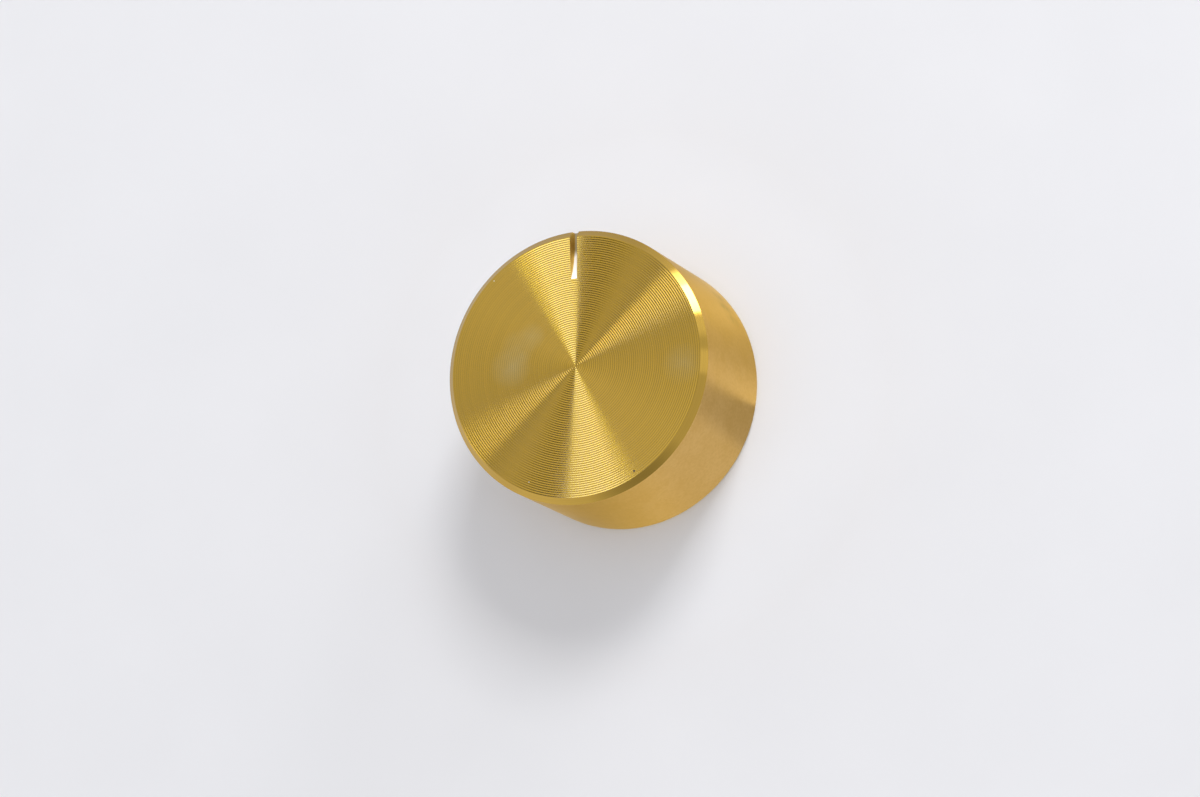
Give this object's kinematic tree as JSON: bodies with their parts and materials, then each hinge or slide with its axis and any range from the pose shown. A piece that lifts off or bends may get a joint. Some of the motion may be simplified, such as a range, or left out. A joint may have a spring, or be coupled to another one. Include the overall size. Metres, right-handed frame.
{
  "type": "control knob",
  "caption": "Round turned metal control knob with a spun face, chamfered rim, pointer notch, and a blind shaft bore clamped by a set screw.",
  "frame": {"origin": "middle of the flat back rim, where the knob meets the panel", "axes": "+Z along the shaft axis, out of the spun face; +Y from the axis towards the pointer notch"},
  "size_m": [0.025, 0.025, 0.013],
  "materials": {
    "gold_aluminium": "gold-anodised aluminium, satin side, fine lathe rings on the face, bright chamfer and notch",
    "dark_steel": "black-oxide alloy steel"
  },
  "bodies": {
    "root": {"knob_body": "gold_aluminium", "set_screw": "dark_steel"}
  },
  "joints": []
}
